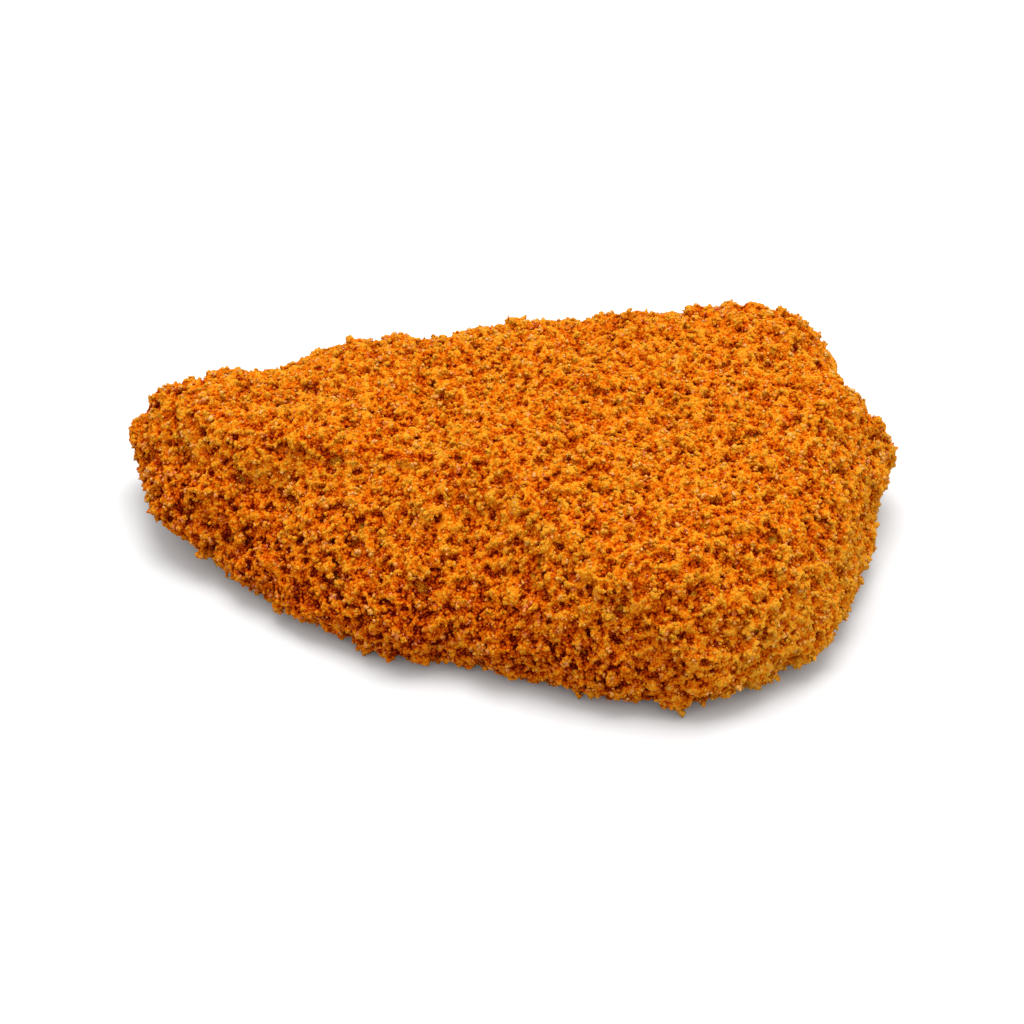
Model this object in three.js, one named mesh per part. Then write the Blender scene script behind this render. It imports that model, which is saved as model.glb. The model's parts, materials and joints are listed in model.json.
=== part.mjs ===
// A crumbed and fried chicken fillet lying on its flat underside, in millimetres, +Z up.
// X runs from the thin tip (-X) to the broad end (+X), and +Y is the straight long side.
// The whole fillet is one solid. Its skin is a sphere's skin, pulled out to the fillet's outline in
// plan and to a rounded section all the way round, then roughened with the lumps of the coating.
import * as THREE from 'three';
import { mergeVertices } from 'three/addons/utils/BufferGeometryUtils.js';
import { SimplexNoise } from 'three/addons/math/SimplexNoise.js';

const { clamp, lerp, seededRandom } = THREE.MathUtils;

// The box that the finished fillet fills.
const length = 125;
const width = 86;
const thickness = 27;

// The skin is 20 * (skinDetail + 1) ** 2 triangles.
const skinDetail = 20;
const lumpSeed = 23;

// Plan view: the widest line round the fillet, anticlockwise from the corner of the broad end.
const outlinePoints = [
  [60.6, 11], [58.5, 19], [56, 26], [54.5, 35.5], [51, 42], [41, 42.2], [29, 42], [14, 41.5],
  [-3, 39.5], [-17, 33], [-31, 32.5], [-46, 24], [-56, 22.5], [-62, 20.5], [-60.3, 14.5],
  [-56, 2], [-48, -7], [-39, -13.5], [-29.5, -21.5], [-20.5, -29], [-7, -30.5], [4, -35],
  [14, -37.5], [25, -39.5], [35, -36.5], [44, -31], [51, -23], [55.3, -12.5], [58.2, 0],
];

// The section: how far the skin has turned in from the outline at the top and at the underside.
// The front flank, left of the broad end, is a wide and straighter slope: roundness 1 is an
// elliptical quarter, and 0 would be a plane bevel.
const shoulderInset = 12;
const flankInset = 26;
const flankRoundness = 0.6;
const flankStretch = { frontFrom: -12, frontTo: 14, rightFrom: -8, rightTo: 20 };
const footInset = 6.5;

// The widest line's height, as a share of the thickness at that place.
const rimHeight = 0.3;

// The top falls towards the tip, the broad end's front corner and the rear. The tip's underside is
// off the table. Each change of height is spread over a stretch that starts and ends as given.
const tipFall = { height: 5, from: -8, to: -66 };
const frontFall = { height: 5, from: 12, to: 62, towards: [0.55, -0.83] };
const rearFall = { height: 3, from: 12, to: 50 };
const tipLift = { height: 3.5, from: -28, to: -70 };

// Lumps under the crumb: each layer has a size, and the heights that it stands proud of the broad
// top and underside and of the sides. They fade out over fadeHeight above the flat underside.
const lumpLayers = [
  { size: 34, onTop: 1.3, onSide: 0.2 },
  { size: 15, onTop: 1.0, onSide: 0.8 },
  { size: 9, onTop: 0.8, onSide: 0.8 },
];
const fadeHeight = 5;

// Single knobs that stand out of the meat, and furrows and hollows (rise below zero) pressed into
// it: centre, reach along each axis, and rise.
const features = [
  { at: [61, 13, 12], reach: [6, 6, 7], rise: 2.5 },
  { at: [-33, 30, 16], reach: [5, 8, 8], rise: 1.5 },
  { at: [4, -37, 7], reach: [3.5, 8, 12], rise: -2.8 },
  { at: [20, -37.5, 13], reach: [4, 8, 10], rise: -2.4 },
  { at: [-22, -27, 8], reach: [7, 8, 9], rise: -2 },
  { at: [-47, -8, 4], reach: [4, 5, 9], rise: -2 },
  { at: [-9, -33, 3], reach: [4, 6, 8], rise: -2 },
  { at: [0, -19, 22], reach: [9, 5, 9], rise: -2.6 },
  { at: [-14, -18, 20], reach: [7, 4, 8], rise: -2.2 },
  { at: [-34, -6, 20], reach: [13, 4, 8], rise: -2.2 },
  { at: [-51, 2, 19], reach: [5, 5, 6], rise: -1.5 },
  { at: [35, -29, 23], reach: [5, 5, 6], rise: -1.6 },
  { at: [44, -12, 25], reach: [4, 4, 6], rise: -1.5 },
  { at: [30, 10, 25], reach: [6, 5, 6], rise: -1.3 },
  { at: [8, 3, 26], reach: [4, 3, 6], rise: -1.2 },
];

// Shares of the sphere's skin, from its top to its bottom, that become the top and the side.
const topShare = 0.34;
const sideShare = 0.4;
const bottomShare = 1 - topShare - sideShare;

const outline = new THREE.CatmullRomCurve3(
  outlinePoints.map(([x, y]) => new THREE.Vector3(x, y, 0)), true, 'centripetal',
);
outline.arcLengthDivisions = 800;

// 0 at from, 1 at to, with no corner at either end. From may be the larger.
function ramp(value, from, to) {
  const part = clamp((value - from) / (to - from), 0, 1);
  return part * part * (3 - 2 * part);
}

// How much of the wide flank's shape the section has at a place on the outline, from 0 to 1.
function flankAt(rim) {
  const { frontFrom, frontTo, rightFrom, rightTo } = flankStretch;
  return ramp(-rim.y, frontFrom, frontTo) * ramp(rim.x, rightTo, rightFrom);
}

function topHeight(x, y) {
  const towardsFront = frontFall.towards[0] * x + frontFall.towards[1] * y;
  return thickness
    - tipFall.height * ramp(x, tipFall.from, tipFall.to)
    - frontFall.height * ramp(towardsFront, frontFall.from, frontFall.to)
    - rearFall.height * ramp(y, rearFall.from, rearFall.to);
}

function undersideHeight(x) {
  return tipLift.height * ramp(x, tipLift.from, tipLift.to);
}

// How far in from the outline a share of the sphere's skin lands, and its level in the section:
// 1 on the top, 0 at the rim and -1 on the underside.
function sectionPlace(share, radius, inFlank) {
  const shoulder = lerp(shoulderInset, flankInset, inFlank);
  if (share < topShare) {
    return { inset: radius - (radius - shoulder) * Math.sqrt(share / topShare), level: 1 };
  }
  if (share > topShare + sideShare) {
    const spread = Math.sqrt((1 - share) / bottomShare);
    return { inset: radius - (radius - footInset) * spread, level: -1 };
  }
  const tilt = Math.PI * (0.5 - (share - topShare) / sideShare);
  if (tilt < 0) {
    return { inset: footInset * (1 - Math.cos(tilt)), level: Math.sin(tilt) };
  }
  const climb = tilt / (Math.PI / 2);
  const roundness = lerp(1, flankRoundness, inFlank);
  return {
    inset: shoulder * lerp(climb, 1 - Math.cos(tilt), roundness),
    level: lerp(climb, Math.sin(tilt), roundness),
  };
}

// The point of the fillet's skin that a direction from the middle of the sphere turns into.
function skinPoint(direction) {
  const turn = Math.atan2(direction.y, direction.x) / (2 * Math.PI);
  const rim = outline.getPointAt(turn - Math.floor(turn));
  const radius = rim.length();
  const { inset, level } = sectionPlace((1 - direction.z) / 2, radius, flankAt(rim));

  const point = rim.multiplyScalar(1 - inset / radius);
  const top = topHeight(point.x, point.y);
  const bottom = undersideHeight(point.x);
  const middle = lerp(bottom, top, rimHeight);
  point.z = level > 0 ? lerp(middle, top, level) : lerp(middle, bottom, -level);
  return point;
}

function makeSkin() {
  const sphere = new THREE.IcosahedronGeometry(1, skinDetail);
  sphere.deleteAttribute('normal');
  sphere.deleteAttribute('uv');
  const skin = mergeVertices(sphere, 1e-4);
  const places = skin.getAttribute('position');
  const direction = new THREE.Vector3();
  for (let i = 0; i < places.count; i += 1) {
    direction.fromBufferAttribute(places, i).normalize();
    places.setXYZ(i, ...skinPoint(direction));
  }
  skin.computeVertexNormals();
  return skin;
}

function featureRise(point) {
  let rise = 0;
  for (const feature of features) {
    const away = new THREE.Vector3(...feature.at).sub(point).divide(new THREE.Vector3(...feature.reach));
    rise += feature.rise * Math.exp(-away.lengthSq());
  }
  return rise;
}

// Push the skin out and in along its normals. The flat underside that it rests on stays flat.
function roughen(skin) {
  seededRandom(lumpSeed);
  const noise = new SimplexNoise({ random: () => seededRandom() });
  const places = skin.getAttribute('position');
  const normals = skin.getAttribute('normal');
  const point = new THREE.Vector3();
  const normal = new THREE.Vector3();
  for (let i = 0; i < places.count; i += 1) {
    point.fromBufferAttribute(places, i);
    normal.fromBufferAttribute(normals, i);
    let rise = featureRise(point);
    for (const { size, onTop, onSide } of lumpLayers) {
      const height = lerp(onSide, onTop, normal.z ** 2);
      rise += height * noise.noise3d(point.x / size, point.y / size, point.z / size);
    }
    point.addScaledVector(normal, rise * ramp(point.z, 0, fadeHeight));
    places.setXYZ(i, point.x, point.y, Math.max(point.z, 0));
  }
}

// Fit the skin to the stated box, with its origin in the middle of the underside.
function fitToBox(skin) {
  skin.computeBoundingBox();
  const box = skin.boundingBox;
  const size = box.getSize(new THREE.Vector3());
  const middle = box.getCenter(new THREE.Vector3());
  skin.translate(-middle.x, -middle.y, -box.min.z);
  skin.scale(length / size.x, width / size.y, thickness / size.z);
}

function makeFillet() {
  const skin = makeSkin();
  roughen(skin);
  fitToBox(skin);
  skin.computeVertexNormals();
  const crust = new THREE.MeshStandardMaterial({ color: 0xc66410, roughness: 0.62, metalness: 0 });
  const fillet = new THREE.Mesh(skin, crust);
  fillet.name = 'fillet';
  return fillet;
}

const part = new THREE.Group();
part.add(makeFillet());

export default part;
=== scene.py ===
# A crumbed and fried chicken fillet, lying alone on a white surface under soft studio light.
# The coating is built up as it is in a kitchen: a core, lumps of batter and crumb fused onto it,
# and then the crumb itself, grain by grain, in a few sizes.
import json
import math
import random
import bmesh
import bpy
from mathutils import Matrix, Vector

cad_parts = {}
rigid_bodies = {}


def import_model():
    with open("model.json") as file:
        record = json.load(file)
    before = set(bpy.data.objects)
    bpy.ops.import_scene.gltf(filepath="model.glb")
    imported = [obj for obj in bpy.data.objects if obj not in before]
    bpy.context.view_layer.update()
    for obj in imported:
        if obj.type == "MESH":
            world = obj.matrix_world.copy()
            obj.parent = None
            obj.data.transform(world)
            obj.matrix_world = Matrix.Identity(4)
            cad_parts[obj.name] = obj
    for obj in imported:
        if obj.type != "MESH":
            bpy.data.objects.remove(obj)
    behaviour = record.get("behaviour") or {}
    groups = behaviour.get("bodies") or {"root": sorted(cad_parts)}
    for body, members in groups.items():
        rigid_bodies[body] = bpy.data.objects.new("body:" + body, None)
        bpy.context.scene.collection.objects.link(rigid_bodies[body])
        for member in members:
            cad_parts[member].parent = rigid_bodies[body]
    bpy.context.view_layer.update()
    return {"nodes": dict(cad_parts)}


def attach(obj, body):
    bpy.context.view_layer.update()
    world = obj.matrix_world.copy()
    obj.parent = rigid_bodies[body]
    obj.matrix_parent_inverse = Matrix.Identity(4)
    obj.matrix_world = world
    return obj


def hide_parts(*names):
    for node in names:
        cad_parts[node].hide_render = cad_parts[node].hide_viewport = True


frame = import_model()
mm = 0.001


class Wire:
    # The output of a node. An expression on wires and numbers adds Math nodes.
    def __init__(self, socket):
        self.socket = socket

    def maths(self, operation, *terms):
        node = self.socket.id_data.nodes.new("ShaderNodeMath")
        node.operation = operation
        for term, place in zip(terms, node.inputs):
            plug(term, place)
        return Wire(node.outputs[0])

    def __add__(self, other):
        return self.maths("ADD", self, other)

    def __radd__(self, other):
        return self.maths("ADD", other, self)

    def __sub__(self, other):
        return self.maths("SUBTRACT", self, other)

    def __rsub__(self, other):
        return self.maths("SUBTRACT", other, self)

    def __mul__(self, other):
        return self.maths("MULTIPLY", self, other)

    def __rmul__(self, other):
        return self.maths("MULTIPLY", other, self)

    def __truediv__(self, other):
        return self.maths("DIVIDE", self, other)

    def __rtruediv__(self, other):
        return self.maths("DIVIDE", other, self)

    def __pow__(self, other):
        return self.maths("POWER", self, other)


def plug(value, place):
    if isinstance(value, Wire):
        place.id_data.links.new(value.socket, place)
    else:
        place.default_value = value


class Graph:
    # A node tree being built, for a material or for geometry nodes.
    def __init__(self, tree):
        self.tree = tree

    def add(self, kind, settings=None, values=None, output=0):
        node = self.tree.nodes.new(kind)
        for name, setting in (settings or {}).items():
            if name == "stops":
                marks = node.color_ramp.elements
                while len(marks) < len(setting):
                    marks.new(1)
                for mark, (place, colour) in zip(marks, setting):
                    mark.position = place
                    mark.color = (*colour, 1)
            else:
                setattr(node, name, setting)
        for name, value in (values or {}).items():
            plug(value, node.inputs[name])
        return Wire(node.outputs[output]) if node.outputs else None


def rampUp(graph, value, low, high, outLow=0.0, outHigh=1.0):
    return graph.add("ShaderNodeMapRange", {"interpolation_type": "SMOOTHSTEP"}, {
        "Value": value, "From Min": low, "From Max": high, "To Min": outLow, "To Max": outHigh})


def scaleVector(graph, vector, size):
    return graph.add("ShaderNodeVectorMath", {"operation": "SCALE"}, {0: vector, "Scale": size})


def readValue(graph, name, kind="FLOAT"):
    return graph.add("GeometryNodeInputNamedAttribute", {"data_type": kind}, {"Name": name})


def storeValue(graph, geometry, name, value, kind="FLOAT", domain="POINT"):
    return graph.add("GeometryNodeStoreNamedAttribute", {"data_type": kind, "domain": domain}, {
        "Geometry": geometry, "Name": name, "Value": value})


def drawValue(graph, kind, low, high, seed):
    # The random node has a pair of sockets and an output of its own for each kind of value.
    lowest, highest, output = {"FLOAT_VECTOR": (0, 1, 0), "FLOAT": (2, 3, 1), "INT": (4, 5, 2)}[kind]
    return graph.add("FunctionNodeRandomValue", {"data_type": kind}, {
        lowest: low, highest: high, "Seed": seed}, output)


def linkObject(name, mesh):
    made = bpy.data.objects.new(name, mesh)
    bpy.context.scene.collection.objects.link(made)
    return made


def removeObject(obj):
    mesh = obj.data
    bpy.data.objects.remove(obj)
    if not mesh.users:
        bpy.data.meshes.remove(mesh)


def meshOf(form, name):
    mesh = bpy.data.meshes.new(name)
    form.to_mesh(mesh)
    form.free()
    return mesh


def bakeModifiers(obj):
    # A plain mesh object in the place of one with live modifiers.
    bpy.context.view_layer.update()
    graph = bpy.context.evaluated_depsgraph_get()
    mesh = bpy.data.meshes.new_from_object(obj.evaluated_get(graph))
    name = obj.name
    removeObject(obj)
    mesh.name = name
    return linkObject(name, mesh)


def runGeometryNodes(obj, name, build):
    # Builds a node tree, runs it on the object and keeps the result as a plain mesh.
    tree = bpy.data.node_groups.new(name, "GeometryNodeTree")
    for side in ("INPUT", "OUTPUT"):
        tree.interface.new_socket(name="Geometry", in_out=side, socket_type="NodeSocketGeometry")
    graph = Graph(tree)
    last = build(graph, graph.add("NodeGroupInput"))
    plug(last, tree.nodes.new("NodeGroupOutput").inputs[0])
    obj.modifiers.new(name, "NODES").node_group = tree
    return bakeModifiers(obj)


# The core is the fillet's own form, drawn in by the depth of the coating.
core = {
    "inset": 1.45 * mm,          # how far the core lies inside the finished coating
    "weld": 0.01 * mm, "cuts": 1, "smoothing": 0.5,
    "cells": 220, "cellHeight": 2.0 * mm,
}


def makeCore():
    mesh = frame["nodes"]["fillet"].data.copy()
    form = bmesh.new()
    form.from_mesh(mesh)
    bmesh.ops.remove_doubles(form, verts=form.verts, dist=core["weld"])
    bmesh.ops.subdivide_edges(form, edges=form.edges, cuts=core["cuts"], use_grid_fill=True)
    bmesh.ops.smooth_vert(form, verts=form.verts, factor=core["smoothing"],
                          use_axis_x=True, use_axis_y=True, use_axis_z=True)
    form.normal_update()
    for vertex in form.verts:
        vertex.co -= vertex.normal * core["inset"]
    form.to_mesh(mesh)
    form.free()
    return linkObject("coreForm", mesh)


# A crumb is one rough ball, or several bits stuck together. These hold for the bits of every kind.
shaping = {
    "smallest": 0.75, "largest": 1.25,      # sizes of the bits against each other
    "spikes": 4, "sharpness": 3, "sway": 0.3,
    "shapes": 12,                           # different crumbs of each kind
    "roomX": 0.24, "roomY": 0.48,           # half the room that one side of a bit takes in its cell
}


def makeShapes(kind):
    # Crumbs about one unit in radius. Each bit is unwrapped in its own cell of the crumb's square,
    # its upper side to the left and its lower side to the right.
    draw = random.Random(kind["seed"])
    group = bpy.data.collections.new(kind["name"])
    corners = kind["faces"] // 2 + 2
    cells = math.ceil(math.sqrt(kind["bits"]))
    goldenTurn = math.pi * (3 - math.sqrt(5))

    def drawDirection():
        return Vector([draw.gauss(0, 1) for axis in range(3)]).normalized()

    for number in range(shaping["shapes"]):
        form = bmesh.new()
        shade = form.verts.layers.float.new("shade")
        layer = form.loops.layers.uv.new("OFBake")
        for bit in range(kind["bits"]):
            away = drawDirection() * kind["gather"]
            size = draw.uniform(shaping["smallest"], shaping["largest"]) * (1 - kind["gather"])
            spikes = [drawDirection() for spike in range(shaping["spikes"])]
            browning = draw.random()
            ball = []
            for corner in range(corners):
                level = 1 - 2 * (corner + 0.5) / corners
                turn = corner * goldenTurn + draw.uniform(-shaping["sway"], shaping["sway"])
                ring = math.sqrt(1 - level * level)
                ball.append(form.verts.new((ring * math.cos(turn), ring * math.sin(turn), level)))
            bmesh.ops.convex_hull(form, input=ball)
            for face in {face for vertex in ball for face in vertex.link_faces}:
                face.normal_update()
                side = 0.25 if face.normal.z * face.calc_center_median().dot(face.normal) > 0 else 0.75
                for loop in face.loops:
                    spot = loop.vert.co
                    loop[layer].uv = ((bit % cells + side + spot.x * shaping["roomX"]) / cells,
                                      (bit // cells + 0.5 + spot.y * shaping["roomY"]) / cells)
            for vertex in ball:
                towards = max(max(vertex.co.dot(spike) for spike in spikes), 0)
                jitter = draw.uniform(-kind["rough"], kind["rough"])
                spiked = kind["spike"] * towards ** shaping["sharpness"]
                vertex.co *= size * (kind["body"] + spiked + jitter)
                vertex.co += away
                vertex[shade] = browning
        bmesh.ops.recalc_face_normals(form, faces=form.faces)
        for face in form.faces:
            face.smooth = True
        group.objects.link(bpy.data.objects.new("shape", meshOf(form, "shape")))
    return group


scattering = {
    "crowding": 2.5,         # points tried, for each square as wide as the spacing
    "anyShape": 997,         # far more than there are shapes: the choice wraps round them
}


def tileUnwrapping(graph, geometry, count):
    # Gives each of the numbered copies its own square tile of the unwrapping.
    root = count ** 0.5
    across = root.maths("CEIL", root)
    number = readValue(graph, "number")
    column = number.maths("FLOORED_MODULO", number, across)
    row = number.maths("FLOOR", number / across)
    corner = graph.add("ShaderNodeCombineXYZ", {}, {"X": column, "Y": row})
    placed = graph.add("ShaderNodeVectorMath", {"operation": "ADD"}, {
        0: readValue(graph, "OFBake", "FLOAT_VECTOR"), 1: corner})
    return storeValue(graph, geometry, "OFBake", scaleVector(graph, placed, 1 / across), "FLOAT2", "CORNER")


def scatterOver(surface, kind, density=None):
    # Copies of a kind's shapes, turned and sized at random, all over a surface, as one mesh.
    shapes = makeShapes(kind)

    def build(graph, geometry):
        seed = kind["seed"]
        points = graph.add("GeometryNodeDistributePointsOnFaces", {"distribute_method": "POISSON"}, {
            "Mesh": geometry, "Distance Min": kind["spacing"], "Seed": seed,
            "Density Max": scattering["crowding"] / kind["spacing"] ** 2,
            **({"Density Factor": density(graph)} if density else {})})
        normal = Wire(points.socket.node.outputs["Normal"])
        lowest, highest = -kind["sink"] - kind["spread"], -kind["sink"] + kind["spread"]
        lift = drawValue(graph, "FLOAT", lowest, highest, seed + 1)
        moved = graph.add("GeometryNodeSetPosition", {}, {
            "Geometry": points, "Offset": scaleVector(graph, normal, lift)})
        every = graph.add("GeometryNodeCollectionInfo", {}, {
            "Collection": shapes, "Separate Children": True, "Reset Children": True})
        placed = graph.add("GeometryNodeInstanceOnPoints", {}, {
            "Points": moved, "Instance": every, "Pick Instance": True,
            "Instance Index": drawValue(graph, "INT", 0, scattering["anyShape"], seed + 4),
            "Rotation": drawValue(graph, "FLOAT_VECTOR", (0, 0, 0), (math.tau, math.tau, math.tau), seed + 2),
            "Scale": drawValue(graph, "FLOAT", kind["smallest"], kind["largest"], seed + 3)})
        tone = drawValue(graph, "FLOAT", 0.0, 1.0, seed + 5)
        toned = storeValue(graph, placed, "tone", tone, domain="INSTANCE")
        index = graph.add("GeometryNodeInputIndex")
        numbered = storeValue(graph, toned, "number", index, domain="INSTANCE")
        real = graph.add("GeometryNodeRealizeInstances", {}, {"Geometry": numbered})
        count = graph.add("GeometryNodeAttributeDomainSize", {"component": "POINTCLOUD"}, {
            "Geometry": points})
        return tileUnwrapping(graph, real, count)

    piece = runGeometryNodes(linkObject(kind["name"], surface.data), kind["name"], build)
    for shape in list(shapes.objects):
        removeObject(shape)
    bpy.data.collections.remove(shapes)
    return piece


# Where the loose crumb sticks: on the slopes and shoulders more than in the gaps or on the peaks,
# and less on the underside and a little way above the table.
crumbCover = {
    "bare": -0.95 * mm, "covered": 0.0 * mm, "peakFrom": 0.25 * mm, "peakTo": 0.6 * mm,
    "underside": 0.35, "edge": 2.5 * mm,
}


def coverByHeight(cover):
    # The share of a surface that crumb sticks to, from the heights that are bare and covered.
    def build(graph):
        proud = readValue(graph, "proud")
        place = graph.add("GeometryNodeInputPosition")
        height = graph.add("ShaderNodeSeparateXYZ", {}, {"Vector": place}, "Z")
        low = rampUp(graph, height, 0, crumbCover["edge"], crumbCover["underside"], 1)
        peaks = rampUp(graph, proud, crumbCover["peakFrom"], crumbCover["peakTo"], 1, 0)
        return rampUp(graph, proud, cover["bare"], cover["covered"]) * low * peaks
    return build


def keepLargest(piece):
    # Drops the hollows closed inside the skin, and the few clumps that don't reach it.
    form = bmesh.new()
    form.from_mesh(piece.data)
    waiting = set(form.verts)
    islands = []
    while waiting:
        island = [waiting.pop()]
        for vertex in island:
            near = {edge.other_vert(vertex) for edge in vertex.link_edges} & waiting
            waiting -= near
            island.extend(near)
        islands.append(island)
    islands.sort(key=len)
    bmesh.ops.delete(form, geom=[vertex for island in islands[:-1] for vertex in island], context="VERTS")
    form.to_mesh(piece.data)
    form.free()
    return piece


# Clumps of batter and crumb are fused onto the core, and then a relief of grains onto the clumps.
# Bits is how many stick together in one crumb and gather how far from its middle. Body, spike and
# rough are shares of the radius. Sink is how deep the middle lies under the surface, and spread how
# far that varies. Voxel is the fineness of the fused skin, and cells is how many domes it is puffed
# up into along a metre. The relief grows from the bare height to the covered one.
clumps = {
    "name": "clumps", "bits": 1, "gather": 0, "faces": 60, "body": 0.68, "spike": 0.28, "rough": 0.25,
    "spacing": 1.3 * mm, "smallest": 0.65 * mm, "largest": 1.5 * mm, "sink": -0.5 * mm,
    "spread": 0.4 * mm, "seed": 11, "voxel": 0.45 * mm, "cells": 360, "cellHeight": 1.8 * mm,
}
relief = {
    "name": "relief", "bits": 1, "gather": 0, "faces": 24, "body": 0.6, "spike": 0.45, "rough": 0.25,
    "spacing": 0.9 * mm, "smallest": 0.4 * mm, "largest": 0.75 * mm, "sink": -0.35 * mm,
    "spread": 0.35 * mm, "seed": 85, "voxel": 0.34 * mm,
    "bare": -1.2 * mm, "covered": -0.4 * mm, "cells": 1400, "cellHeight": 0.55 * mm,
}


def fuse(base, kind, density=None):
    # The base and everything scattered over it, grown together into one skin.
    extra = scatterOver(base, kind, density)
    joined = bmesh.new()
    joined.from_mesh(base.data)
    joined.from_mesh(extra.data)
    removeObject(extra)
    name = kind["name"] + "Fused"
    fused = linkObject(name, meshOf(joined, name))
    remesh = fused.modifiers.new("fuse", "REMESH")
    remesh.mode = "VOXEL"
    remesh.voxel_size = kind["voxel"]
    return keepLargest(bakeModifiers(fused))


domeEdge = 0.45              # the distance from a cell's middle, in cells, where its dome meets the skin


def puffUp(piece, kind):
    # Raises a dome over every cell of a random pattern, along the skin's normals, with creases between.
    def build(graph, geometry):
        away = graph.add("ShaderNodeTexVoronoi", {}, {"Scale": kind["cells"]}, "Distance")
        normal = graph.add("GeometryNodeInputNormal")
        rise = scaleVector(graph, normal, (domeEdge - away) * kind["cellHeight"])
        return graph.add("GeometryNodeSetPosition", {}, {"Geometry": geometry, "Offset": rise})
    return runGeometryNodes(piece, "puffUp", build)


crust = {
    "slabs": 5,
    "smoothing": 20,         # rounds of evening out that turn the crust's height into its level
    "cut": 1e-7,             # corners this near a cut lie on it
    "upperFrom": 0.3,        # the share of the height where the upper half of the unwrapping starts
    "margin": 0.01,
}


def measureRise(piece, coreForm, skin=None):
    # Keeps each point's height above the core as its "rise", the skin's smoothed-out height there as
    # its "level", and what it stands above that level as its "proud".
    def build(graph, geometry):
        inside = graph.add("GeometryNodeObjectInfo", {}, {"Object": coreForm}, "Geometry")
        away = graph.add("GeometryNodeProximity", {"target_element": "FACES"}, {0: inside}, "Distance")
        risen = storeValue(graph, geometry, "rise", away)
        rise = readValue(graph, "rise")
        if skin:
            level = graph.add("GeometryNodeSampleNearestSurface", {"data_type": "FLOAT"}, {
                "Mesh": graph.add("GeometryNodeObjectInfo", {}, {"Object": skin}, "Geometry"),
                "Value": readValue(graph, "level")})
        else:
            level = graph.add("GeometryNodeBlurAttribute", {"data_type": "FLOAT"}, {
                "Value": rise, "Iterations": crust["smoothing"]})
        levelled = storeValue(graph, risen, "level", level)
        return storeValue(graph, levelled, "proud", rise - readValue(graph, "level"))
    return runGeometryNodes(piece, "measureRise", build)


def keepAboveTable(piece):
    # What would hang below the table is pressed flat on it.
    for vertex in piece.data.vertices:
        if vertex.co.z < 0:
            vertex.co.z = 0


def cutIntoSlabs(piece, count):
    # Closed slabs side by side along X, each with about the same number of faces.
    places = sorted(polygon.center.x for polygon in piece.data.polygons)
    cuts = [places[len(places) * number // count] for number in range(1, count)]
    slabs = []
    for number in range(count):
        form = bmesh.new()
        form.from_mesh(piece.data)
        for cut, outwards in ((number - 1, -1), (number, 1)):
            if 0 <= cut < len(cuts):
                sliced = bmesh.ops.bisect_plane(
                    form, geom=form.verts[:] + form.edges[:] + form.faces[:], dist=crust["cut"],
                    plane_co=(cuts[cut], 0, 0), plane_no=(outwards, 0, 0), clear_outer=True)
                rim = [edge for edge in sliced["geom_cut"] if isinstance(edge, bmesh.types.BMEdge)]
                lid = bmesh.ops.triangle_fill(form, edges=rim, normal=(outwards, 0, 0))["geom"]
                for face in lid:
                    if isinstance(face, bmesh.types.BMFace):
                        face.smooth = False
                        if face.normal.x * outwards < 0:
                            face.normal_flip()
                for edge in rim:
                    edge.smooth = False
        name = "crustSlab" + str(number + 1)
        slabs.append(linkObject(name, meshOf(form, name)))
    removeObject(piece)
    return slabs


def unwrapSkin(piece):
    # Spreads the slab's skin out flat, its upper part beside its lower part.
    spots = [vertex.co.copy() for vertex in piece.data.vertices]
    top = max(spot.z for spot in spots)
    margin = crust["margin"]
    layer = piece.data.uv_layers.new(name="OFBake")
    flat = []
    for polygon in piece.data.polygons:
        upper = polygon.center.z > crust["upperFrom"] * top
        for corner in polygon.loop_indices:
            spot = spots[piece.data.loops[corner].vertex_index]
            out = Vector((spot.x, spot.y, 0))
            down = top - spot.z if upper else spot.z
            flat.append((upper, out.normalized() * (out.length + down)))
    for upper in (False, True):
        part = [place for side, place in flat if side == upper]
        low = Vector((min(place.x for place in part), min(place.y for place in part), 0))
        reach = Vector((max(place.x for place in part), max(place.y for place in part), 0)) - low
        start = 0.5 + margin if upper else margin
        for place in part:
            place.x = (place.x - low.x) / reach.x * (0.5 - 2 * margin) + start
            place.y = (place.y - low.y) / reach.y * (1 - 2 * margin) + margin
    layer.data.foreach_set("uv", [value for side, place in flat for value in place.xy])


# The colours of the coating from its deepest gaps to its peaks: the dark low end is painted shade in the
# gaps, the upper end the crumb's own golden colour.
gapShadeAndCrumbStops = [
    (0.0, (0.05, 0.0017, 0.0004)), (0.25, (0.205, 0.0165, 0.0006)), (0.5, (0.33, 0.06, 0.0011)),
    (0.75, (0.366, 0.107, 0.0029)), (1.0, (0.376, 0.163, 0.0105)),
]

# Each share is how far one cause moves a place along those colours, or its finish. Scales count the
# cells of a pattern along a metre.
coating = {
    "lightness": 0.12, "depthShare": 0.88,
    "patchScale": 130, "patchShare": 0.2,
    "grainScale": 2400, "creaseShadeShare": 0.85,
    "roughScale": 2600, "roughShare": 0.4, "bump": 0.8, "bumpHeight": 0.25 * mm,
    "shineScale": 700, "roughness": 0.2, "roughnessShare": 0.4,
    "oilFrom": 0.52, "oilTo": 0.62, "oilRoughness": 0.15,
    "softness": 0.1, "softColour": (1.0, 0.35, 0.05), "softDepth": 0.4 * mm,
}

# Deep and proud are the heights with the first and the last colour, which paints shade into the
# gaps; vary is how unlike each other the grains are. The crust's grains are cells of a pattern, and loose
# crumbs have their own tone.
crustLook = {
    "deep": -0.55 * mm, "proud": 0.45 * mm, "cells": 1400, "bits": 0, "vary": 0.16, "oil": 0,
}
crumbLook = {
    "deep": -0.8 * mm, "proud": 0.65 * mm, "cells": None, "bits": 1.2, "vary": 0.13, "oil": 0.8,
}

# Painted shade and light: the flanks are painted darker than the top, where light from above falls less, and
# the broad end is painted a little lighter, as if lit from that side.
flankShade = {
    "low": 8 * mm, "high": 22 * mm, "darker": -0.18,
    "fadeFrom": 12 * mm, "fadeTo": 42 * mm, "atBroadEnd": -0.8,
}


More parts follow.
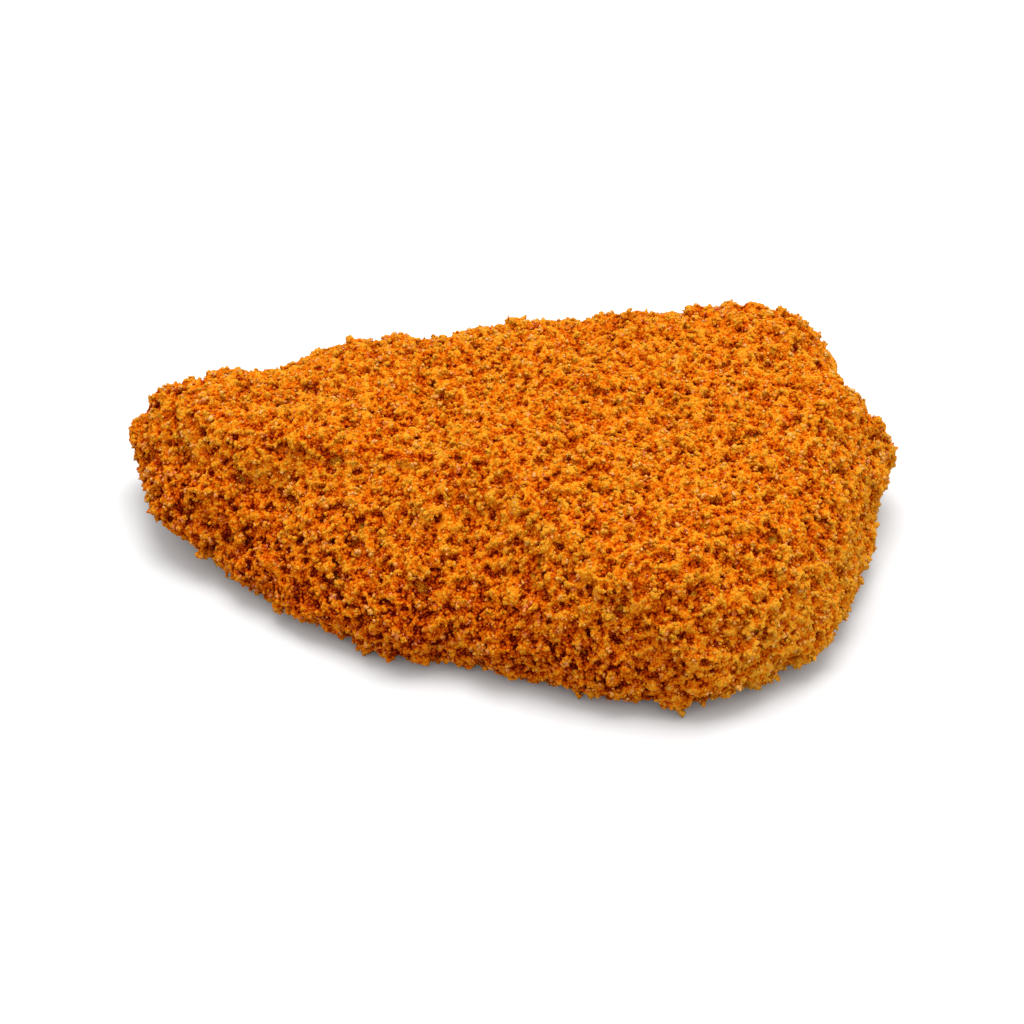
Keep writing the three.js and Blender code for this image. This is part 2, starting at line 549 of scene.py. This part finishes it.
def crumbMaterial(name, look):
    material = bpy.data.materials.new(name)
    material.use_nodes = True
    material.node_tree.nodes.clear()
    graph = Graph(material.node_tree)
    place = graph.add("ShaderNodeTexCoord", output="Object")

    def attribute(name):
        return graph.add("ShaderNodeAttribute", {"attribute_name": name}, output="Fac")

    def noise(scale, detail):
        return graph.add("ShaderNodeTexNoise", {}, {"Vector": place, "Scale": scale, "Detail": detail}, "Fac")

    def cells(scale, output):
        return graph.add("ShaderNodeTexVoronoi", {}, {"Vector": place, "Scale": scale}, output)

    def along(axis):
        return graph.add("ShaderNodeSeparateXYZ", {}, {"Vector": place}, axis)

    # Painted shade: places low between the grains and clumps get the darker colours, the proud ones the
    # lighter.
    depth = rampUp(graph, attribute("proud"), look["deep"], look["proud"])
    away = cells(coating["grainScale"], "Distance")
    if look["cells"]:
        tone = graph.add("ShaderNodeSeparateColor", {}, {"Color": cells(look["cells"], "Color")}, 0)
    else:
        tone = attribute("tone")
    uneven = (tone - 0.5 + (attribute("shade") - 0.5) * look["bits"]) * look["vary"]
    patchy = (noise(coating["patchScale"], 2) - 0.5) * coating["patchShare"]
    # Painted shade in the creases: each grain's colour darkens towards its cell's rim, where the bump sinks.
    creaseShade = (domeEdge - away) * coating["creaseShadeShare"]
    # Painted light on the broad end, and painted shade on the flanks below the top.
    fade = rampUp(
        graph, along("X"), flankShade["fadeFrom"], flankShade["fadeTo"], 1, flankShade["atBroadEnd"])
    flank = rampUp(
        graph, along("Z"), flankShade["low"], flankShade["high"], flankShade["darker"], 0) * fade
    # The crumb's random tone and patches, together with the painted shade of gaps, creases and flanks and the
    # painted light on the broad end.
    brownedAndShaded = depth * coating["depthShare"] + uneven + patchy + creaseShade + flank + coating["lightness"]
    shine = noise(coating["shineScale"], 1)
    coat = 0.0
    if look["oil"]:
        coat = rampUp(graph, shine, coating["oilFrom"], coating["oilTo"], 0, look["oil"]) * depth
    shader = graph.add("ShaderNodeBsdfPrincipled", {}, {
        "Base Color": graph.add("ShaderNodeValToRGB", {"stops": gapShadeAndCrumbStops}, {"Fac": brownedAndShaded}, "Color"),
        "Roughness": coating["roughness"] + shine * coating["roughnessShare"],
        "Normal": graph.add("ShaderNodeBump", {"invert": True}, {
            "Strength": coating["bump"], "Distance": coating["bumpHeight"],
            "Height": away - noise(coating["roughScale"], 2) * coating["roughShare"]}),
        "Specular IOR Level": 0.0, "Coat Weight": coat, "Coat Roughness": coating["oilRoughness"],
        "Subsurface Weight": coating["softness"], "Subsurface Radius": coating["softColour"],
        "Subsurface Scale": coating["softDepth"]})
    graph.add("ShaderNodeOutputMaterial", {}, {"Surface": shader})
    return material


def directionFrom(azimuth, elevation):
    turn, rise = math.radians(azimuth), math.radians(elevation)
    return Vector((math.sin(turn) * math.cos(rise), -math.cos(turn) * math.cos(rise), math.sin(rise)))


camera = {
    "azimuth": 0, "elevation": 37, "distance": 450 * mm, "nearest": 10 * mm, "farthest": 10,
    "lens": 100, "sensor": 36, "target": (0.65 * mm, -1 * mm, 8.1 * mm),
}


def addCamera():
    data = bpy.data.cameras.new("camera")
    data.lens = camera["lens"]
    data.sensor_width = camera["sensor"]
    data.clip_start = camera["nearest"]
    data.clip_end = camera["farthest"]
    made = linkObject("camera", data)
    back = directionFrom(camera["azimuth"], camera["elevation"])
    made.location = Vector(camera["target"]) + back * camera["distance"]
    made.rotation_euler = (-back).to_track_quat("-Z", "Y").to_euler()
    bpy.context.scene.camera = made


softboxAbove = {
    "azimuth": 165, "elevation": 82, "distance": 0.9, "size": 0.68, "power": 10.8,
    "target": (0, 0, 10 * mm),
}
studio = {"light": 2.15, "floorSize": 3, "floorGrey": 0.4, "floorRoughness": 0.9, "floorGloss": 0.1}


def addSoftbox():
    data = bpy.data.lights.new("softboxAbove", "AREA")
    data.shape = "DISK"
    data.size = softboxAbove["size"]
    data.energy = softboxAbove["power"]
    made = linkObject("softboxAbove", data)
    back = directionFrom(softboxAbove["azimuth"], softboxAbove["elevation"])
    made.location = Vector(softboxAbove["target"]) + back * softboxAbove["distance"]
    made.rotation_euler = (-back).to_track_quat("-Z", "Y").to_euler()


def addStudio():
    bpy.context.scene.view_settings.view_transform = "Standard"
    world = bpy.data.worlds.new("studio")
    bpy.context.scene.world = world
    world.use_nodes = True
    world.node_tree.nodes["Background"].inputs["Color"].default_value = (1, 1, 1, 1)
    world.node_tree.nodes["Background"].inputs["Strength"].default_value = studio["light"]
    form = bmesh.new()
    bmesh.ops.create_grid(form, x_segments=1, y_segments=1, size=studio["floorSize"])
    floor = linkObject("floor", meshOf(form, "floor"))
    material = bpy.data.materials.new("whiteSweep")
    material.use_nodes = True
    shader = material.node_tree.nodes["Principled BSDF"]
    shader.inputs["Base Color"].default_value = (*[studio["floorGrey"]] * 3, 1)
    shader.inputs["Roughness"].default_value = studio["floorRoughness"]
    shader.inputs["Specular IOR Level"].default_value = studio["floorGloss"]
    floor.data.materials.append(material)


def dress(piece, finish):
    piece.data.materials.clear()
    piece.data.materials.append(finish)
    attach(piece, "root")
    print(piece.name, len(piece.data.polygons), "faces")


addCamera()
addSoftbox()
addStudio()
print("camera and studio set")

coreForm = makeCore()
lumpy = puffUp(linkObject("lumpy", coreForm.data.copy()), core)
clumpy = measureRise(puffUp(fuse(lumpy, clumps), clumps), coreForm)
removeObject(lumpy)
print("clumps fused,", len(clumpy.data.polygons), "faces")

skin = fuse(clumpy, relief, coverByHeight(relief))
skin = measureRise(puffUp(skin, relief), coreForm)
removeObject(clumpy)
for polygon in skin.data.polygons:
    polygon.use_smooth = True
print("crust fused,", len(skin.data.polygons), "faces")

# The loose crumb, from the largest kind to the finest.
crumbs = [
    {"name": "crumbRocks", "bits": 6, "gather": 0.5, "faces": 14, "body": 0.72, "spike": 0.4,
     "rough": 0.2, "spacing": 2.15 * mm, "smallest": 0.8 * mm, "largest": 1.2 * mm,
     "sink": 0.65 * mm, "spread": 0.3 * mm, "seed": 24},
    {"name": "crumbKnobs", "bits": 6, "gather": 0.5, "faces": 14, "body": 0.72, "spike": 0.4,
     "rough": 0.2, "spacing": 2.15 * mm, "smallest": 0.7 * mm, "largest": 1.05 * mm,
     "sink": 0.6 * mm, "spread": 0.3 * mm, "seed": 25},
    {"name": "crumbLumps", "bits": 3, "gather": 0.4, "faces": 14, "body": 0.7, "spike": 0.4,
     "rough": 0.2, "spacing": 1.5 * mm, "smallest": 0.5 * mm, "largest": 0.8 * mm,
     "sink": 0.26 * mm, "spread": 0.25 * mm, "seed": 23},
    {"name": "crumbBits", "bits": 3, "gather": 0.4, "faces": 14, "body": 0.7, "spike": 0.4,
     "rough": 0.2, "spacing": 1.5 * mm, "smallest": 0.45 * mm, "largest": 0.75 * mm,
     "sink": 0.21 * mm, "spread": 0.25 * mm, "seed": 22},
    {"name": "crumbFine", "bits": 1, "gather": 0, "faces": 14, "body": 0.6, "spike": 0.45,
     "rough": 0.22, "spacing": 0.87 * mm, "smallest": 0.3 * mm, "largest": 0.46 * mm,
     "sink": 0.06 * mm, "spread": 0.25 * mm, "seed": 21},
]
crumbFinish = crumbMaterial("crumbGolden", crumbLook)
for kind in crumbs:
    piece = scatterOver(skin, kind, coverByHeight(crumbCover))
    piece = measureRise(piece, coreForm, skin)
    keepAboveTable(piece)
    dress(piece, crumbFinish)

crustFinish = crumbMaterial("crustDeep", crustLook)
keepAboveTable(skin)
for slab in cutIntoSlabs(skin, crust["slabs"]):
    unwrapSkin(slab)
    dress(slab, crustFinish)
    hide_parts("fillet")

removeObject(coreForm)
